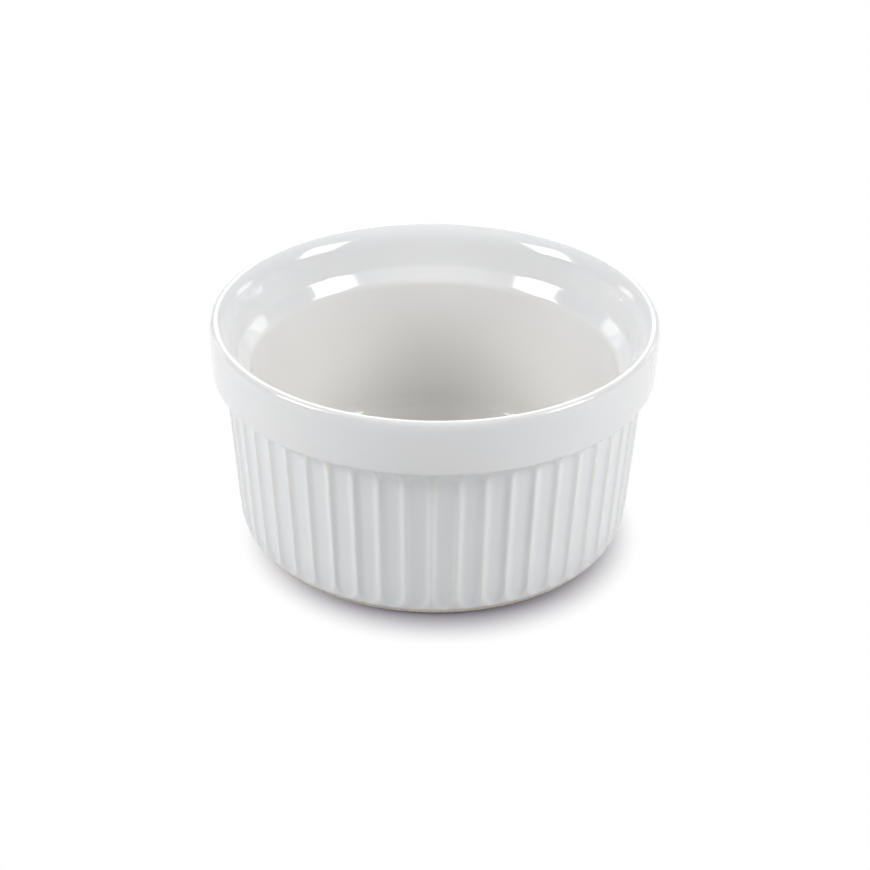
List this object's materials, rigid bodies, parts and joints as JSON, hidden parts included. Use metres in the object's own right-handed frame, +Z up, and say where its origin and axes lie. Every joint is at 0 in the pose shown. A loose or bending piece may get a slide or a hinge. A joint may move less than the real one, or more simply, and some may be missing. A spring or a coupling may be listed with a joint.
{
  "type": "ramekin",
  "caption": "Small round glazed stoneware baking dish with a plain collar, an inner ledge, a fluted tapering wall and a bare foot ring.",
  "frame": {"origin": "centre of the foot ring, on the plane it stands on", "axes": "+Z up along the axis of the dish; -Y is the side the picture was taken from"},
  "size_m": [0.09, 0.09, 0.046],
  "materials": {
    "bare_stoneware": "bare biscuit, matt and slightly gritty",
    "white_glaze": "glossy white food glaze"
  },
  "bodies": {
    "root": {"stoneware_body": "bare_stoneware", "outer_glaze": "white_glaze", "base_glaze": "white_glaze"}
  },
  "joints": []
}
